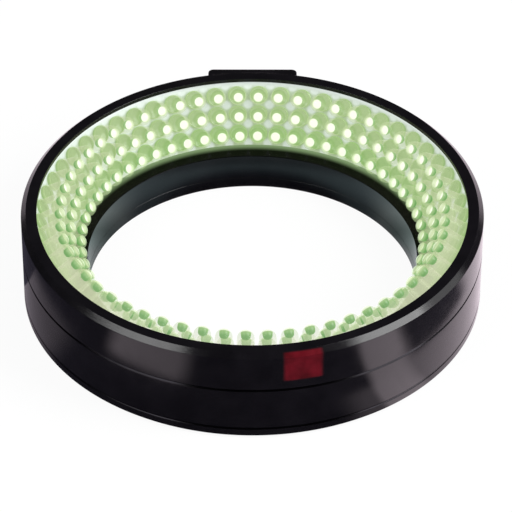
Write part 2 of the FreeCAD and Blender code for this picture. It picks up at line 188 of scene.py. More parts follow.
def inset(outline, depth):
    """The closed outline, run anticlockwise, moved inwards by a depth."""
    points = []
    for i, corner in enumerate(outline):
        before = (Vector(corner) - Vector(outline[i - 1])).normalized()
        after = (Vector(outline[(i + 1) % len(outline)]) - Vector(corner)).normalized()
        inward = Vector((-before.y - after.y, before.x + after.x))
        moved = Vector(corner) + inward * (depth / (1 + before.dot(after)))
        points.append((moved.x, moved.y))
    return points


def lathe(name, outline, start=0, end=360, steps=RING_STEPS, smooth=True):
    """A ring, or a stretch of one, turned about Z from a closed outline of radii and heights."""
    count = len(outline)
    whole = end - start == 360
    stations = steps if whole else steps + 1
    points = []
    for step in range(stations):
        angle = start + (end - start) * step / steps
        for radius, height in outline:
            points.append(mm(*polar(radius, angle), height))
    faces = []
    for step in range(steps):
        here = step * count
        there = (step + 1) % stations * count
        for i in range(count):
            j = (i + 1) % count
            faces.append((here + i, there + i, there + j, here + j))
    if not whole:
        faces.append(tuple(range(count)))
        faces.append(tuple(range(len(points) - 1, len(points) - 1 - count, -1)))
    return new_object(name, mesh_from(name, points, faces, smooth))


def prism(name, outline, low, high, edge=0.0, smooth=True):
    """A block with an anticlockwise plan and, if an edge is given, its upper and lower edges rounded."""
    layers = [(0.0, low), (0.0, high)]
    if edge:
        arc = [math.radians(90 * step / CORNER_STEPS) for step in range(CORNER_STEPS + 1)]
        foot = [(edge * (1 - math.sin(angle)), low + edge * (1 - math.cos(angle))) for angle in arc]
        foot.append((0.0, low + edge * (1 + SUPPORT)))
        layers = foot + [(depth, high + low - height) for depth, height in reversed(foot)]
    points = []
    for depth, height in layers:
        for x, y in inset(outline, depth):
            points.append(mm(x, y, height))
    count = len(outline)
    faces = []
    for layer in range(len(layers) - 1):
        here = layer * count
        for i in range(count):
            j = (i + 1) % count
            faces.append((here + i, here + j, here + count + j, here + count + i))
    caps = [tuple(range(count - 1, -1, -1)), tuple(range(len(points) - count, len(points)))]
    mesh = mesh_from(name, points, faces + caps, smooth)
    for face in list(mesh.polygons)[-2:]:
        face.use_smooth = False
    return new_object(name, mesh)


def cutter(name, outline, low, high):
    """A block with flat faces that is taken out of another."""
    return prism(name, outline, low, high, smooth=False)


def rectangle(left, right, low, high):
    return [(left, low), (right, low), (right, high), (left, high)]


def circle(radius, steps=HOLE_STEPS, x=0.0, y=0.0):
    turns = [math.tau * step / steps for step in range(steps)]
    return [(x + radius * math.cos(turn), y + radius * math.sin(turn)) for turn in turns]


def cut(piece, *cutters):
    """Takes the cutters' shapes out of a piece, removes them and shades the piece's sharp edges sharp."""
    for tool in cutters:
        change = piece.modifiers.new("cut", "BOOLEAN")
        change.operation = "DIFFERENCE"
        change.solver = "EXACT"
        change.object = tool
        graph = bpy.context.evaluated_depsgraph_get()
        mesh = bpy.data.meshes.new_from_object(piece.evaluated_get(graph))
        piece.modifiers.remove(change)
        piece.data = mesh
        bpy.data.objects.remove(tool)
    flat = [face.index for face in piece.data.polygons if not face.use_smooth]
    piece.data.set_sharp_from_angle(angle=SHARP_EDGE)
    for index in flat:
        piece.data.polygons[index].use_smooth = False
    return piece


def move(thing, matrix):
    """Moves a piece's own points, so that its origin stays the ring's."""
    thing.data.transform(matrix)
    thing.data.update()
    return thing


def scattered(name, mesh, places):
    """One mesh with a copy of another at each of some places."""
    joined = bmesh.new()
    for place in places:
        copy = mesh.copy()
        copy.transform(place)
        joined.from_mesh(copy)
        bpy.data.meshes.remove(copy)
    result = bpy.data.meshes.new(name)
    joined.to_mesh(result)
    joined.free()
    return new_object(name, result)


# Materials

# Most of a noise lies between these values
NOISE_LOW = 0.3
NOISE_HIGH = 0.7

# How strongly the grain shows, and how deep it is in metres
GRAIN_STRENGTH = 0.12
BLASTED_GRAIN = 0.00004
MOULDED_GRAIN = 0.00005

# How far a moulded part's roughness strays
GLOSS_SPREAD = 0.06


class Paint:
    """A material and short ways to add nodes to it."""

    def __init__(self, name):
        self.material = bpy.data.materials.new(name)
        self.material.use_nodes = True
        self.tree = self.material.node_tree
        self.shader = self.tree.nodes["Principled BSDF"]
        self.place = self.add("ShaderNodeTexCoord").outputs["Object"]

    def add(self, kind, **settings):
        node = self.tree.nodes.new(kind)
        for key, value in settings.items():
            setattr(node, key, value)
        return node

    def join(self, source, target):
        self.tree.links.new(source, target)

    def supply(self, name, source):
        """Feeds one of the shader's own sockets."""
        self.join(source, self.shader.inputs[name])

    def feed(self, socket, value):
        if isinstance(value, tuple):
            socket.default_value = (*value, 1.0)
        elif isinstance(value, (int, float)):
            socket.default_value = value
        else:
            self.join(value, socket)

    def fixed(self, **values):
        for key, value in values.items():
            self.shader.inputs[key.replace("_", " ")].default_value = value

    def unsampled(self):
        """Leaves the glow out of the lights that are sampled for other surfaces."""
        self.material.cycles.emission_sampling = "NONE"

    def parts(self, source):
        node = self.add("ShaderNodeSeparateXYZ")
        self.join(source, node.inputs["Vector"])
        return node.outputs["X"], node.outputs["Y"], node.outputs["Z"]

    def noise(self, scale, detail, stretch=(1, 1, 1)):
        mapping = self.add("ShaderNodeMapping")
        mapping.inputs["Scale"].default_value = stretch
        self.join(self.place, mapping.inputs["Vector"])
        node = self.add("ShaderNodeTexNoise")
        node.inputs["Scale"].default_value = scale
        node.inputs["Detail"].default_value = detail
        self.join(mapping.outputs["Vector"], node.inputs["Vector"])
        return node.outputs["Fac"]

    def ramp(self, source, *stops):
        node = self.add("ShaderNodeValToRGB")
        elements = node.color_ramp.elements
        while len(elements) < len(stops):
            elements.new(0.5)
        for element, (position, colour) in zip(elements, stops):
            element.position = position
            element.color = (*colour, 1.0)
        self.join(source, node.inputs["Fac"])
        return node.outputs["Color"]

    def span(self, source, low, high, onto=(0.0, 1.0), smooth=False):
        node = self.add("ShaderNodeMapRange")
        if smooth:
            node.interpolation_type = "SMOOTHSTEP"
        for key, value in (("From Min", low), ("From Max", high), ("To Min", onto[0]), ("To Max", onto[1])):
            node.inputs[key].default_value = value
        self.join(source, node.inputs["Value"])
        return node.outputs["Result"]

    def mottled(self, scale, detail, dark, light, low=NOISE_LOW):
        """Two close shades, mixed by a noise."""
        return self.ramp(self.noise(scale, detail), (low, dark), (NOISE_HIGH, light))

    def uneven(self, scale, detail, least, most):
        """A value that a noise moves between two limits."""
        return self.span(self.noise(scale, detail), NOISE_LOW, NOISE_HIGH, onto=(least, most))

    def between(self, source, rise, fall):
        """One between two limits and none outside them, with soft ends."""
        up = self.span(source, *rise, smooth=True)
        down = self.span(source, *fall, onto=(1.0, 0.0), smooth=True)
        return self.times(up, down)

    def maths(self, kind, first, second=0.0):
        node = self.add("ShaderNodeMath", operation=kind)
        self.feed(node.inputs[0], first)
        self.feed(node.inputs[1], second)
        return node.outputs["Value"]

    def times(self, first, second):
        return self.maths("MULTIPLY", first, second)

    def plus(self, first, second):
        return self.maths("ADD", first, second)

    def angle(self, x, y):
        """The angle about Z."""
        return self.maths("ARCTAN2", y, x)

    def reach(self, x, y):
        """The distance from the Z axis."""
        squares = self.plus(self.maths("POWER", x, 2), self.maths("POWER", y, 2))
        return self.maths("POWER", squares, 0.5)

    def along_lamp(self):
        """How far up a lamp's part a point is, from the map that turned_lamp gives it."""
        node = self.add("ShaderNodeUVMap", uv_map="share")
        return self.parts(node.outputs["UV"])[1]

    def mixed(self, share, first, second):
        node = self.add("ShaderNodeMix", data_type="RGBA")
        self.join(share, node.inputs["Factor"])
        colours = [socket for socket in node.inputs if socket.type == "RGBA"]
        self.feed(colours[0], first)
        self.feed(colours[1], second)
        return [socket for socket in node.outputs if socket.type == "RGBA"][0]

    def grain(self, height, depth):
        node = self.add("ShaderNodeBump")
        node.inputs["Strength"].default_value = GRAIN_STRENGTH
        node.inputs["Distance"].default_value = depth
        self.join(height, node.inputs["Height"])
        self.supply("Normal", node.outputs["Normal"])


# Where the red mark fades in and out, in degrees about the ring and in millimetres of height
MARK_LEFT = (-82.9, -81.7)
MARK_RIGHT = (-73.9, -72.5)
MARK_LOW = (19.8, 20.7)
MARK_HIGH = (29.1, 29.6)
MARK_DARK = (0.050, 0.002, 0.004)
MARK_LIGHT = (0.105, 0.004, 0.009)

# The grooves between the rings and the shelf under the lamps get painted shade: a metallic share that makes
# their gloss near black. Each reaches so far above and below its level, fades just beyond that, and starts
# or ends between two radii.
LEVEL_FADE = 0.1
GROOVE_HALF = SEAM_CHAMFER - 0.05
GROOVE_REACH = (OUTER - 1.0, OUTER - 0.8)
SHELF_HALF = 0.1
SHELF_REACH = (60.0, 60.5)
PAINTED_SHADE_METALLIC = 0.85

# The lamps' light on the shelf grows between these radii
SPILL_REACH = (50.2, 53.0)
SPILL = (0.20, 0.30, 0.14)


def anodised(name, mark=False, ring=False):
    """Black anodised aluminium: near black and satin, with the fine grain of blasting under it."""
    paint = Paint(name)
    colour = paint.mottled(120, 3, (0.0028, 0.0024, 0.0034), (0.0050, 0.0043, 0.0058), low=0.35)
    paint.supply("Base Color", marked(paint, colour) if mark else colour)
    paint.supply("Roughness", paint.uneven(300, 5, 0.13, 0.19))
    paint.grain(paint.noise(4200, 3, stretch=(1, 1, 2.2)), BLASTED_GRAIN)
    paint.fixed(Specular_IOR_Level=0.3)
    # With ring set, the grooves and the shelf get painted shade, and the shelf gets painted lamp light.
    if ring:
        painted_shade_and_spill(paint)
    return paint.material


def marked(paint, colour):
    """A colour with the red field on the front of the housing over it."""
    x, y, z = paint.parts(paint.place)
    sides = [[math.radians(angle) for angle in side] for side in (MARK_LEFT, MARK_RIGHT)]
    wide = paint.between(paint.angle(x, y), *sides)
    tall = paint.between(z, mm(*MARK_LOW), mm(*MARK_HIGH))
    return paint.mixed(paint.times(wide, tall), colour, paint.mottled(260, 4, MARK_DARK, MARK_LIGHT))


def painted_shade_and_spill(paint):
    """Paints shade into the grooves and onto the shelf, and paints a little of the lamps' light onto the
    shelf.
    """
    x, y, z = paint.parts(paint.place)
    reach = paint.reach(x, y)
    grooves = paint.plus(level(paint, z, SEAM, GROOVE_HALF), level(paint, z, COVER_TOP, GROOVE_HALF))
    grooves = paint.times(grooves, paint.span(reach, *mm(*GROOVE_REACH)))
    within = paint.span(reach, *mm(*SHELF_REACH), onto=(1.0, 0.0))
    shelf = paint.times(level(paint, z, SHELF_TOP, SHELF_HALF), within)
    painted_shade = paint.maths("MAXIMUM", grooves, shelf)
    paint.supply("Metallic", paint.span(painted_shade, 0, 1, onto=(0.0, PAINTED_SHADE_METALLIC)))
    spill = paint.times(shelf, paint.span(reach, *mm(*SPILL_REACH), smooth=True))
    paint.supply("Emission Color", paint.mixed(spill, (0, 0, 0), SPILL))
    paint.fixed(Emission_Strength=1.0)
    paint.unsampled()


def level(paint, z, height, half):
    """One within a small distance of a height, and fading just beyond it."""
    low = height - half
    high = height + half
    return paint.between(z, mm(low - LEVEL_FADE, low), mm(high, high + LEVEL_FADE))


# The resin's glow and how much it hides, from a lamp's flange to its tip
RESIN_GLOW = [
    (0.00, (0.24, 0.38, 0.14)),
    (0.11, (0.33, 0.46, 0.20)),
    (0.20, (0.54, 0.56, 0.39)),
    (0.66, (0.55, 0.57, 0.40)),
    (0.80, (0.36, 0.47, 0.23)),
    (0.92, (0.54, 0.64, 0.35)),
    (1.00, (0.86, 0.93, 0.70)),
]
RESIN_VEIL = [
    (0.00, 1.0),
    (0.12, 0.9),
    (0.16, 0.27),
    (0.66, 0.25),
    (0.80, 0.23),
    (0.92, 0.25),
    (1.00, 0.55),
]
PLAIN_SHADE = (1.0, 1.0, 1.0)
LOW_ROW_SHADE = (0.88, 0.98, 0.84)

# The lit cup's glow, up its outside and down its inside
CUP_GLOW = [
    (0.00, (0.02, 0.19, 0.02)),
    (0.28, (0.03, 0.22, 0.03)),
    (0.45, (0.26, 0.42, 0.18)),
    (0.56, (0.44, 0.52, 0.30)),
    (0.72, (0.56, 0.64, 0.38)),
    (0.80, (1.00, 1.00, 0.90)),
    (1.00, (1.00, 1.00, 0.96)),
]


def clear_resin(name, shade):
    """Clear resin with a little of the lamp's green in it, thicker to the eye at the flange and the tip."""
    paint = Paint(name)
    along = paint.along_lamp()
    glow = [(share, [part * tint for part, tint in zip(colour, shade)]) for share, colour in RESIN_GLOW]
    paint.supply("Emission Color", paint.ramp(along, *glow))
    veil = [(share, (alpha, alpha, alpha)) for share, alpha in RESIN_VEIL]
    paint.supply("Alpha", paint.ramp(along, *veil))
    paint.supply("Base Color", paint.mottled(900, 3, (0.08, 0.11, 0.06), (0.12, 0.15, 0.08)))
    paint.fixed(Emission_Strength=1.0, Roughness=0.15, Specular_IOR_Level=0.2)
    paint.unsampled()
    return paint.material


def lit_core():
    """The lit inside of a lamp: a small cup, dark green outside, pale inside and white at its bottom."""
    paint = Paint("lit_core")
    paint.supply("Emission Color", paint.ramp(paint.along_lamp(), *CUP_GLOW))
    paint.fixed(Base_Color=(0.03, 0.06, 0.02, 1.0), Emission_Strength=1.1, Roughness=0.4)
    return paint.material


# The heights between which the painted white light of the strip above the lamps fades in
STRIP = (26.1, 27.5)

# The painted white light of the diamonds between four lamps fades in between these sums of two cosines. The
# sum is 2 at a lamp and -2 in the middle of four.
DIAMOND = (-0.7, -1.7)
DIAMOND_WHITE = 0.75
# The board's glow is painted light: green lamp light close to the lamps and white light above and between
# them.
PAINTED_LAMP_GREEN = (0.25, 0.32, 0.17)
PAINTED_WHITE_LIGHT = (0.54, 0.58, 0.56)


def solder_mask_with_painted_light():
    """White solder mask with a dim base colour and a glow of painted light: green lamp light close to the
    lamps, white light above them and between four of them.
    """
    paint = Paint("white_mask_painted_light")
    paint.supply("Base Color", paint.mottled(500, 4, (0.24, 0.27, 0.26), (0.30, 0.33, 0.32)))
    x, y, z = paint.parts(paint.place)
    turn = paint.maths("SUBTRACT", paint.angle(x, y), math.radians(FIRST_LAMP_ANGLE))
    column = paint.times(turn, COLUMNS)
    rise = paint.maths("SUBTRACT", z, SEAT_HEIGHT * MM)
    climb = paint.times(rise, math.tau / (ROW_PITCH * MM * math.sin(LEAN)))
    nearness = paint.plus(paint.maths("COSINE", column), paint.maths("COSINE", climb))
    diamond = paint.span(nearness, *DIAMOND, onto=(0.0, DIAMOND_WHITE), smooth=True)
    strip = paint.span(z, *mm(*STRIP), smooth=True)
    painted_white_share = paint.maths("MAXIMUM", diamond, strip)
    paint.supply("Emission Color", paint.mixed(painted_white_share, PAINTED_LAMP_GREEN, PAINTED_WHITE_LIGHT))
    paint.fixed(Roughness=0.45, Emission_Strength=1.0)
    paint.unsampled()
    return paint.material


def moulded(name, dark, light, rough):
    """A moulded or coated part: two close shades, uneven gloss and a fine grain."""
    paint = Paint(name)
    paint.supply("Base Color", paint.mottled(220, 4, dark, light))
    paint.supply("Roughness", paint.uneven(600, 3, rough - GLOSS_SPREAD, rough + GLOSS_SPREAD))
    paint.grain(paint.noise(1500, 3), MOULDED_GRAIN)
    return paint.material


def dress(thing, material):
    thing.data.materials.clear()
    thing.data.materials.append(material)


def dress_node(node, material):
    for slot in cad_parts[node].material_slots:
        slot.material = material


def stand_for(piece, node, material):
    """The piece is shown in place of a CAD node."""
    dress(piece, material)
    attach(piece, "root")
    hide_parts(node)


def extra(piece, material):
    """A small part that the CAD model leaves to the scene."""
    dress(piece, material)
    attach(piece, "root")


housing = anodised("black_anodised")
# These two materials paint shade into the grooves and onto the shelf, and paint lamp light onto the shelf.
groove_shaded_housing = anodised("black_anodised_painted_shade", ring=True)
marked_shaded_housing = anodised("black_anodised_marked_painted_shade", mark=True, ring=True)
nylon = moulded("black_nylon", (0.010, 0.010, 0.011), (0.018, 0.018, 0.020), 0.5)
rubber = moulded("black_rubber", (0.008, 0.008, 0.008), (0.014, 0.014, 0.014), 0.7)
steel = moulded("blackened_steel", (0.020, 0.020, 0.022), (0.034, 0.034, 0.036), 0.34)


# The housing's rings, turned finer than the solids and with their edges broken

def make_front_ring():
    outline = [
        (RING_INNER, SEAM),
        (OUTER - SEAM_CHAMFER, SEAM),
        (OUTER, SEAM + SEAM_CHAMFER),
        (OUTER, TOP - RIM_CHAMFER),
        (OUTER - RIM_CHAMFER, TOP),
        (LIP_RADIUS, TOP),
        (LIP_RADIUS, LIP_UNDER),
        (RING_INNER, LIP_UNDER),
    ]
    ring = lathe("front_ring_turned", rounded(outline, BROKEN_EDGE))
    stand_for(ring, "front_ring", marked_shaded_housing)


def make_main_body():
    outline = [
        (BORE, COVER_TOP),
        (OUTER, COVER_TOP),
        (OUTER, SEAM - SEAM_CHAMFER),
        (OUTER - SEAM_CHAMFER, SEAM),
        (RING_INNER, SEAM),
        (RING_INNER, SHELF_TOP),
        (BORE, SHELF_TOP),
    ]
    ring = lathe("main_body_turned", rounded(outline, BROKEN_EDGE))
    section = rectangle(CHAMBER_INNER, CHAMBER_OUTER, COVER_TOP - PAST, CHAMBER_TOP)
    chamber = lathe("chamber", section, CHAMBER_START, CHAMBER_END, CHAMBER_STEPS, smooth=False)
    plan = rectangle(-PASSAGE_HALF, PASSAGE_HALF, CHAMBER_OUTER - PAST / 2, OUTER + PAST)
    passage = cutter("passage", plan, PASSAGE_LOW, PASSAGE_HIGH)
    cut(ring, chamber, passage)
    stand_for(ring, "main_body", groove_shaded_housing)


def screw_places():
    """Where the screws in the rear cover sit."""
    places = []
    for quarter in range(QUARTERS):
        x, y = polar(HOLE_CIRCLE - SCREW_INSET, SCREW_ANGLE + QUARTER * quarter)
        places.append(Matrix.Translation(Vector((x, y, 0)) * MM))
    return places


def make_rear_cover():
    outline = [
        (BORE, 0.0),
        (OUTER - FOOT_CHAMFER, 0.0),
        (OUTER, FOOT_CHAMFER),
        (OUTER, COVER_TOP - SEAM_CHAMFER),
        (OUTER - SEAM_CHAMFER, COVER_TOP),
        (BORE, COVER_TOP),
    ]
    ring = lathe("rear_cover_turned", rounded(outline, BROKEN_EDGE))
    sink_outline = [
        (OFF_AXIS, -SINK_GAP),
        (SCREW_HEAD + SINK_GAP, -SINK_GAP),
        (SCREW_HEAD + SINK_GAP, SINK_RIM),
        (SINK_NECK, SINK_TOP),
        (OFF_AXIS, SINK_TOP),
    ]
    cutters = []
    for quarter, place in enumerate(screw_places()):
        x, y = polar(HOLE_CIRCLE, FIRST_HOLE + QUARTER * quarter)
        hole = cutter("hole", circle(HOLE_RADIUS, x=x, y=y), -PAST, COVER_TOP + PAST)
        sink = lathe("sink", sink_outline, steps=HOLE_STEPS, smooth=False)
        cutters += [hole, move(sink, place)]
    cut(ring, *cutters)
    stand_for(ring, "rear_cover", groove_shaded_housing)


def screw_mesh():
    """A countersunk screw's head, seen from below, with a six-sided socket."""
    outline = [
        (OFF_AXIS, SCREW_FACE),
        (SCREW_HEAD, SCREW_FACE),
        (SCREW_HEAD, SCREW_RIM),
        (SCREW_NECK, SCREW_TOP),
        (OFF_AXIS, SCREW_TOP),
    ]
    body = lathe("screw", outline, steps=SCREW_STEPS, smooth=False)
    socket = cutter("socket", circle(SOCKET_RADIUS, HEXAGON), -PAST, SOCKET_TOP)
    mesh = cut(body, socket).data
    bpy.data.objects.remove(body)
    return mesh


def make_screws():
    extra(scattered("cover_screws", screw_mesh(), screw_places()), steel)


# The cable box with its lid and gland

# Where the points of the box's curved seat lie, as shares of half the angle that it spans
SEAT_POINTS = (-1, -0.98, -0.75, -0.5, -0.25, 0, 0.25, 0.5, 0.75, 0.98, 1)

# The hole for the gland's neck starts this far back from the cavity's end wall and is this long
NECK_HOLE_BACK = 5
NECK_HOLE_LENGTH = 20
NECK_GAP = 0.05


def gland_frame(start):
    """Turns a block that stands on the floor so that it lies along the cable's way in."""
    place = Vector((0, start, INLET_HEIGHT)) * MM
    return Matrix.Translation(place) @ Matrix.Rotation(math.radians(-90), 4, "X")


def make_cable_box():
    half_angle = math.asin(BOX_HALF / BOX_INNER)
    seat = []
    for share in SEAT_POINTS:
        angle = half_angle * share
        seat.append((BOX_INNER * math.sin(angle), BOX_INNER * math.cos(angle)))
    block = [(BOX_HALF, BOX_INNER), (BOX_HALF, BOX_OUTER), (-BOX_HALF, BOX_OUTER), (-BOX_HALF, BOX_INNER)]
    points = rounded(block, BOX_CORNER)
    far_corners = points[len(points) // 4:len(points) * 3 // 4]
    box = prism("cable_box_edged", seat + far_corners, COVER_TOP, SEAM, BOX_EDGE)
    cavity_plan = rectangle(-CAVITY_HALF, CAVITY_HALF, BORE, CAVITY_END)
    cavity = cutter("cavity", cavity_plan, COVER_TOP - PAST, CAVITY_TOP)
    recess_plan = rectangle(-LID_HALF - LID_GAP, LID_HALF + LID_GAP, BORE, LID_END + LID_GAP)
    recess = cutter("recess", recess_plan, COVER_TOP - PAST, COVER_TOP + LID_THICKNESS)
    hole = cutter("neck_hole", circle(NECK_RADIUS), 0, NECK_HOLE_LENGTH)
    cut(box, cavity, recess, move(hole, gland_frame(CAVITY_END - NECK_HOLE_BACK)))
    stand_for(box, "cable_box", housing)


def make_lid():
    plan = rounded(rectangle(-LID_HALF, LID_HALF, OUTER + LID_GAP, LID_END), LID_CORNER)
    lid = prism("cable_box_lid_edged", plan, COVER_TOP, COVER_TOP + LID_THICKNESS, LID_EDGE)
    stand_for(lid, "cable_box_lid", housing)


def make_gland():
    corner = GLAND_FLATS / 2 / math.cos(math.pi / HEXAGON)
    plan = rounded(circle(corner, HEXAGON), GLAND_CORNER)
    head = prism("cable_gland_edged", plan, 0, GLAND_HEAD, GLAND_EDGE)
    cut(head, cutter("gland_bore", circle(INLET_RADIUS), -PAST, GLAND_HEAD + PAST))
    move(head, gland_frame(BOX_OUTER))
    section = [
        (INLET_RADIUS, CAVITY_END - NECK_REACH),
        (NECK_RADIUS - NECK_GAP, CAVITY_END - NECK_REACH),
        (NECK_RADIUS - NECK_GAP, BOX_OUTER),
        (INLET_RADIUS, BOX_OUTER),
    ]
    neck = move(lathe("gland_neck", section, steps=NECK_STEPS), gland_frame(0))
    stand_for(head, "cable_gland", nylon)
    extra(neck, rubber)


make_front_ring()
make_main_body()
make_rear_cover()
make_screws()
make_cable_box()
make_lid()
make_gland()


# Lamps

LAMP_STEPS = 24
DOME_STEPS = 9
LAMP_BODY = 2.45
BODY_FROM = 1.1
BODY_FILLET = 0.05
LAMP_FLANGE = 2.7
FLANGE_TOP = 0.9
FLANGE_EDGE = 0.1
CUP_FROM = 5.2

# Radius and distance from the lit cup's foot, up its outside to the rim and down its inside
CUP_OUTLINE = [
    (0.0, 0.0),
    (0.55, 0.03),
    (0.95, 0.20),
    (1.25, 0.60),
    (1.38, 1.20),
    (1.46, 1.95),
    (1.42, 2.00),
    (1.37, 1.80),
    (1.30, 1.40),
    (1.22, 0.98),
    (0.60, 0.92),
    (0.0, 0.90),
]


def shell_outline():
    """Radius and distance from the seat, up one side of a lamp."""
    straight = LAMP_LENGTH - LAMP_BODY
    outline = [
        (0.0, 0.0),
        (LAMP_FLANGE - FLANGE_EDGE, 0.0),
        (LAMP_FLANGE, FLANGE_EDGE),
        (LAMP_FLANGE, FLANGE_TOP - FLANGE_EDGE),
        (LAMP_FLANGE - FLANGE_EDGE, FLANGE_TOP),
        (LAMP_BODY + BODY_FILLET, FLANGE_TOP + BODY_FILLET),
        (LAMP_BODY, BODY_FROM),
        (LAMP_BODY, straight),
    ]
    for step in range(1, DOME_STEPS + 1):
        angle = math.radians(90 * step / DOME_STEPS)
        outline.append((LAMP_BODY * math.cos(angle), straight + LAMP_BODY * math.sin(angle)))
    return outline


def share_of(outline, index, folded):
    """How far along the axis a point is or, on a folded outline, how many of its points lie before it."""
    if folded:
        return index / (len(outline) - 1)
    return (outline[index][1] - outline[0][1]) / (outline[-1][1] - outline[0][1])


def turned_lamp(name, outline, folded=False):
    """One turned part of a lamp, with a UV map of how far each point is from the axis and up the part."""
    first, *between, last = outline
    points = []
    shares = []
    for index, (radius, along) in enumerate(between, start=1):
        for step in range(LAMP_STEPS):
            angle = math.tau * step / LAMP_STEPS
            points.append(mm(radius * math.cos(angle), radius * math.sin(angle), along))
            shares.append((radius, share_of(outline, index, folded)))
    faces = []
    for ring in range(len(between) - 1):
        low = ring * LAMP_STEPS
        high = low + LAMP_STEPS
        for step in range(LAMP_STEPS):
            following = (step + 1) % LAMP_STEPS
            faces.append((low + step, low + following, high + following, high + step))
    foot = len(points)
    points += [(0, 0, first[1] * MM), (0, 0, last[1] * MM)]
    shares += [(0.0, 0.0), (0.0, 1.0)]
    top = (len(between) - 1) * LAMP_STEPS
    for step in range(LAMP_STEPS):
        following = (step + 1) % LAMP_STEPS
        faces.append((foot, following, step))
        faces.append((foot + 1, top + step, top + following))
    mesh = mesh_from(name, points, faces)
    layer = mesh.uv_layers.new(name="share")
    for loop in mesh.loops:
        layer.data[loop.index].uv = shares[loop.vertex_index]
    return mesh


def lamp_places(row):
    """Where the lamps of one row sit, and which way they lean."""
    out = SEAT_RADIUS + ROW_PITCH * row * math.cos(LEAN)
    up = SEAT_HEIGHT + ROW_PITCH * row * math.sin(LEAN)
    lean = Matrix.Translation(Vector((out, 0, up)) * MM) @ Matrix.Rotation(-LEAN, 4, "Y")
    turns = [math.radians(FIRST_LAMP_ANGLE) + math.tau * column / COLUMNS for column in range(COLUMNS)]
    return [Matrix.Rotation(turn, 4, "Z") @ lean for turn in turns]


def make_lamps():
    resin = clear_resin("clear_resin", PLAIN_SHADE)
    low_resin = clear_resin("clear_resin_low", LOW_ROW_SHADE)
    core = lit_core()
    cup_outline = [(radius, CUP_FROM + along) for radius, along in CUP_OUTLINE]
    shell_mesh = turned_lamp("lamp_shell", shell_outline())
    core_mesh = turned_lamp("lamp_core", cup_outline, folded=True)
    for row, node in enumerate(("lamp_row_lower", "lamp_row_middle", "lamp_row_upper")):
        shells = scattered(f"{node}_shells", shell_mesh, lamp_places(row))
        stand_for(shells, node, resin if row else low_resin)
        extra(scattered(f"{node}_cores", core_mesh, lamp_places(row)), core)


make_lamps()
dress_node("lamp_board", solder_mask_with_painted_light())

# Inner pieces keep their solids
dress_node("gland_locknut", nylon)
dress_node("driver_board", moulded("green_mask", (0.015, 0.10, 0.04), (0.03, 0.15, 0.06), 0.35))
film = moulded("amber_film", (0.36, 0.15, 0.02), (0.48, 0.22, 0.04), 0.3)
dress_node("insulating_sheet", film)
dress_node("flex_tail", film)
dark_resin = moulded("dark_resin", (0.012, 0.012, 0.013), (0.022, 0.022, 0.024), 0.45)
dress_node("current_resistors", dark_resin)
dress_node("protection_diode", dark_resin)
dress_node("power_terminal", moulded("green_nylon", (0.03, 0.20, 0.07), (0.05, 0.27, 0.10), 0.5))
dress_node("link_header", moulded("ivory_nylon", (0.62, 0.58, 0.46), (0.72, 0.68, 0.56), 0.5))


# Floor, background and light

FLOOR_HALF = 3.0
FLOOR_DROP = 0.0001
FLOOR_SEEN = 0.93

# A painted reflection, which only the gloss sees on the table beside the ring: bright at the right and dark
# in front.
# Each area has two soft ends in degrees about the ring, two distances from the axis, and its brightness
# before the first and beyond the second.
DARK_STREAK = ((-41, -35), (-12, -2), (78.5, 81), (0.0, 1.0))
BRIGHT_FRONT = ((-90, -80), (-45, -33), (84, 86), (1.9, 2.6))
PALE_FOOT = ((-68, -57), (-52, -46), (76, 79), (0.3, 0.0))
LEFT_PATCH = ((-141, -134), (-115, -107), (85.2, 86.8), (0.0, 0.62))
GREY_REFLECTION = ((-200, -190), (-158, -146), (79, 85), (0.09, 0.0))
BRIGHT_REFLECTION_ENDS = ((-56, -52), (125, 150))
BRIGHT_REFLECTION_LEVELS = (0.5, 0.02)
DARK_REFLECTION_COLOUR = (0.06, 0.055, 0.08)
BRIGHT_REFLECTION_COLOUR = (2.60, 2.25, 2.45)

# A painted reflection of the table under the ring, as the bore's wall mirrors it, from the middle to the
# back. It grows dark towards the back, next to the wall, as painted shadow of the ring.
UNDER_DEPTH = (10, 45)
UNDER_COLOURS = [
    (0.14, (0.90, 1.00, 1.00)),
    (0.26, (0.74, 0.92, 0.90)),
    (0.39, (0.52, 0.67, 0.64)),
    (0.54, (0.84, 1.00, 0.98)),
    (0.67, (0.38, 0.51, 0.54)),
    (0.77, (0.33, 0.46, 0.49)),
    (0.86, (0.09, 0.13, 0.15)),
    (0.94, (0.01, 0.02, 0.03)),
]

# Distances from the axis, with the brightness at both ends of each. The dimming towards the wall is painted
# shadow.
UNDER_MIDDLE = ((35.5, 37.5), (0.75, 1.8))
UNDER_WALL = ((39, 46), (1.0, 0.35))
UNDER_TO_BESIDE = ((46, 50), (0.0, 0.37))


def painted_reflection(paint):
    """The painted reflection: the colour and brightness of the table as the housing mirrors it."""
    x, y = paint.parts(paint.place)[:2]
    angle = paint.angle(x, y)
    reach = paint.reach(x, y)

    def ends(*sides):
        return paint.between(angle, *[[math.radians(end) for end in side] for side in sides])

    def by_distance(distances, lights):
        return paint.span(reach, *mm(*distances), onto=lights, smooth=True)

    def area(rise, fall, distances, lights):
        return paint.times(ends(rise, fall), by_distance(distances, lights))

    bright_reflection = paint.times(ends(*BRIGHT_REFLECTION_ENDS), paint.span(area(*DARK_STREAK), 0, 1, onto=BRIGHT_REFLECTION_LEVELS))
    bright_reflection = paint.times(bright_reflection, paint.maths("MAXIMUM", area(*BRIGHT_FRONT), 1.0))
    patches = paint.plus(area(*LEFT_PATCH), area(*GREY_REFLECTION))
    light = paint.plus(paint.plus(bright_reflection, area(*PALE_FOOT)), patches)
    beside = paint.mixed(light, DARK_REFLECTION_COLOUR, BRIGHT_REFLECTION_COLOUR)
    under = paint.ramp(paint.span(y, *mm(*UNDER_DEPTH)), *UNDER_COLOURS)
    strength = paint.times(by_distance(*UNDER_MIDDLE), by_distance(*UNDER_WALL))
    strength = paint.plus(strength, by_distance(*UNDER_TO_BESIDE))
    colour = paint.mixed(by_distance(UNDER_TO_BESIDE[0], (0.0, 1.0)), under, beside)
    return colour, strength


